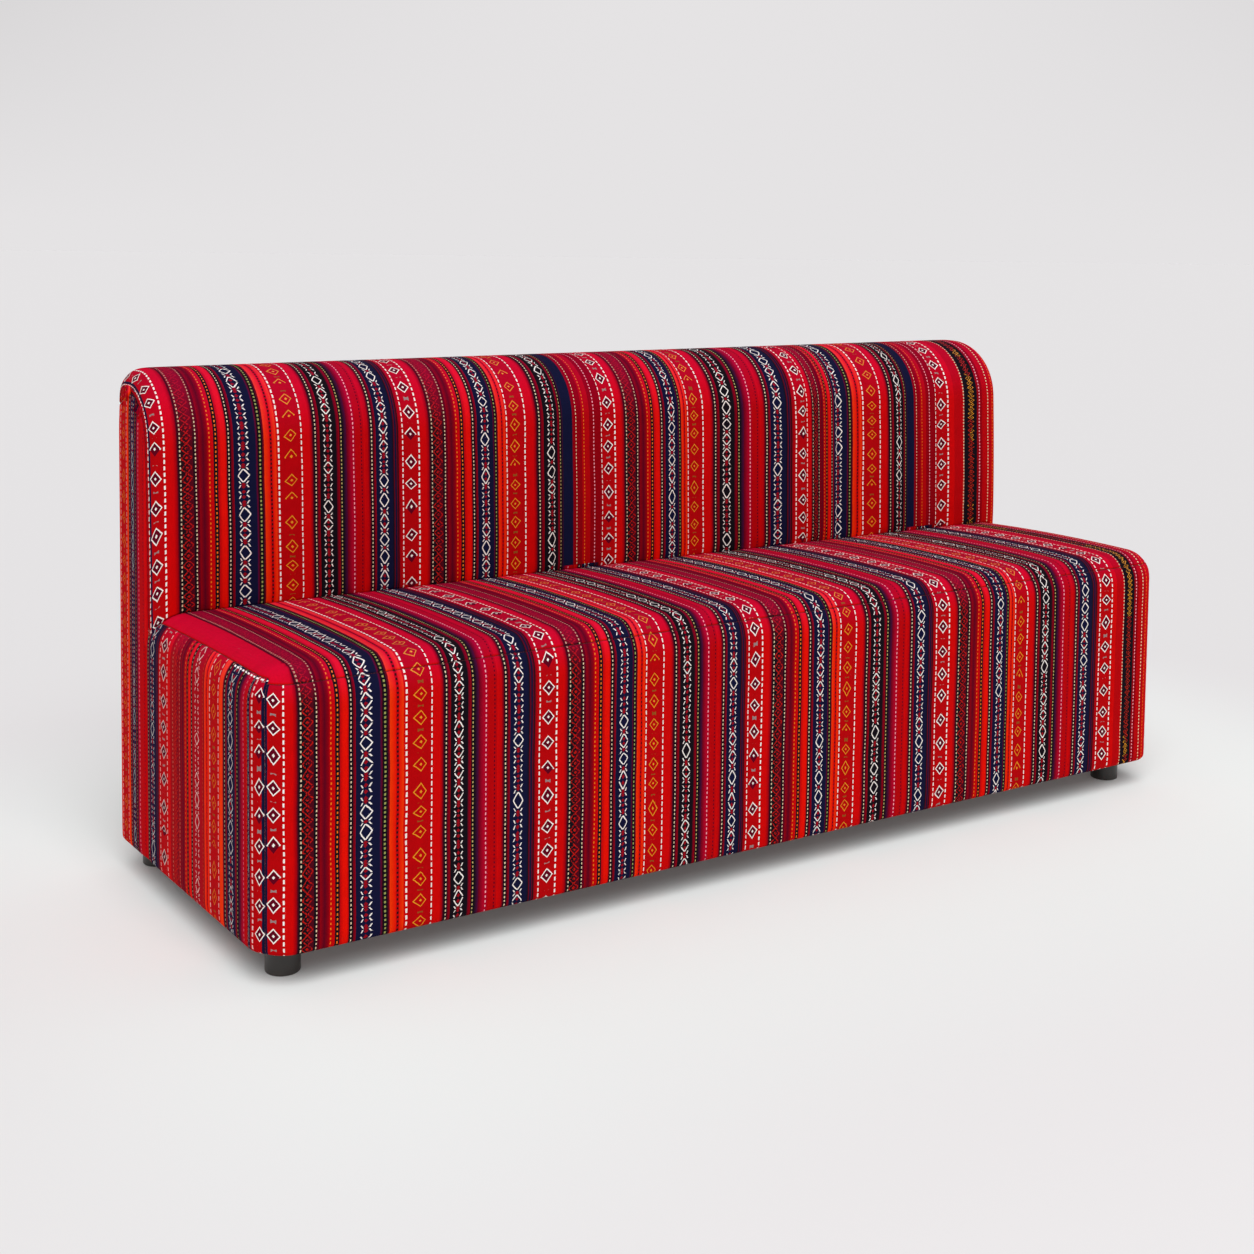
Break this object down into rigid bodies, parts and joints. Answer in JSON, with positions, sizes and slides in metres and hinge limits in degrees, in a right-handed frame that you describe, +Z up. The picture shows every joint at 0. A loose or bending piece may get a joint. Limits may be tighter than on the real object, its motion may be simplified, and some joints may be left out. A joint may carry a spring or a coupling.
{
  "type": "majlis floor sofa",
  "caption": "Low armless floor sofa with a padded seat box and padded backrest in striped woven cloth, on short round feet.",
  "frame": {"origin": "on the floor under the middle of the whole sofa, halfway along its length and halfway between the seat's front and the backrest's rear", "axes": "+X along the length, to the right of someone who looks at the front, +Y from the seat's front to the backrest's rear, +Z up"},
  "size_m": [1.8, 0.61, 0.81],
  "materials": {
    "striped_cloth": "woven, matt",
    "dust_cloth": "felted, matt",
    "foam": "cut foam, matt",
    "wadding": "fluffy, matt",
    "plywood": "raw, sawn edges",
    "timber": "raw, planed",
    "foot_plastic": "moulded, satin",
    "zinc_steel": "zinc plated"
  },
  "bodies": {
    "root": {"back_bent_board": "plywood", "back_foam": "foam", "back_foot_rail": "timber", "back_front_cover": "striped_cloth", "back_left_cover": "striped_cloth", "back_left_pad": "wadding", "back_left_side": "plywood", "back_lower_board": "plywood", "back_middle_rail": "timber", "back_rear_board": "plywood", "back_rear_cover": "striped_cloth", "back_rib_1": "plywood", "back_rib_2": "plywood", "back_rib_3": "plywood", "back_right_cover": "striped_cloth", "back_right_pad": "wadding", "back_right_side": "plywood", "back_top_rail": "timber", "deck_screws": "zinc_steel", "dust_cover": "dust_cloth", "foot_back_left": "foot_plastic", "foot_back_right": "foot_plastic", "foot_block_back_left": "timber", "foot_block_back_right": "timber", "foot_block_front_left": "timber", "foot_block_front_right": "timber", "foot_front_left": "foot_plastic", "foot_front_right": "foot_plastic", "foot_studs": "zinc_steel", "foot_tee_nuts": "zinc_steel", "frame_bolts": "zinc_steel", "frame_nuts": "zinc_steel", "frame_washers": "zinc_steel", "hem_staples": "zinc_steel", "seat_back_board": "plywood", "seat_deck": "plywood", "seat_foam": "foam", "seat_front_board": "plywood", "seat_front_cover": "striped_cloth", "seat_front_pad": "wadding", "seat_left_board": "plywood", "seat_left_cover": "striped_cloth", "seat_left_pad": "wadding", "seat_rib_1": "plywood", "seat_rib_2": "plywood", "seat_rib_3": "plywood", "seat_right_board": "plywood", "seat_right_cover": "striped_cloth", "seat_right_pad": "wadding", "seat_top_cover": "striped_cloth"}
  },
  "joints": []
}
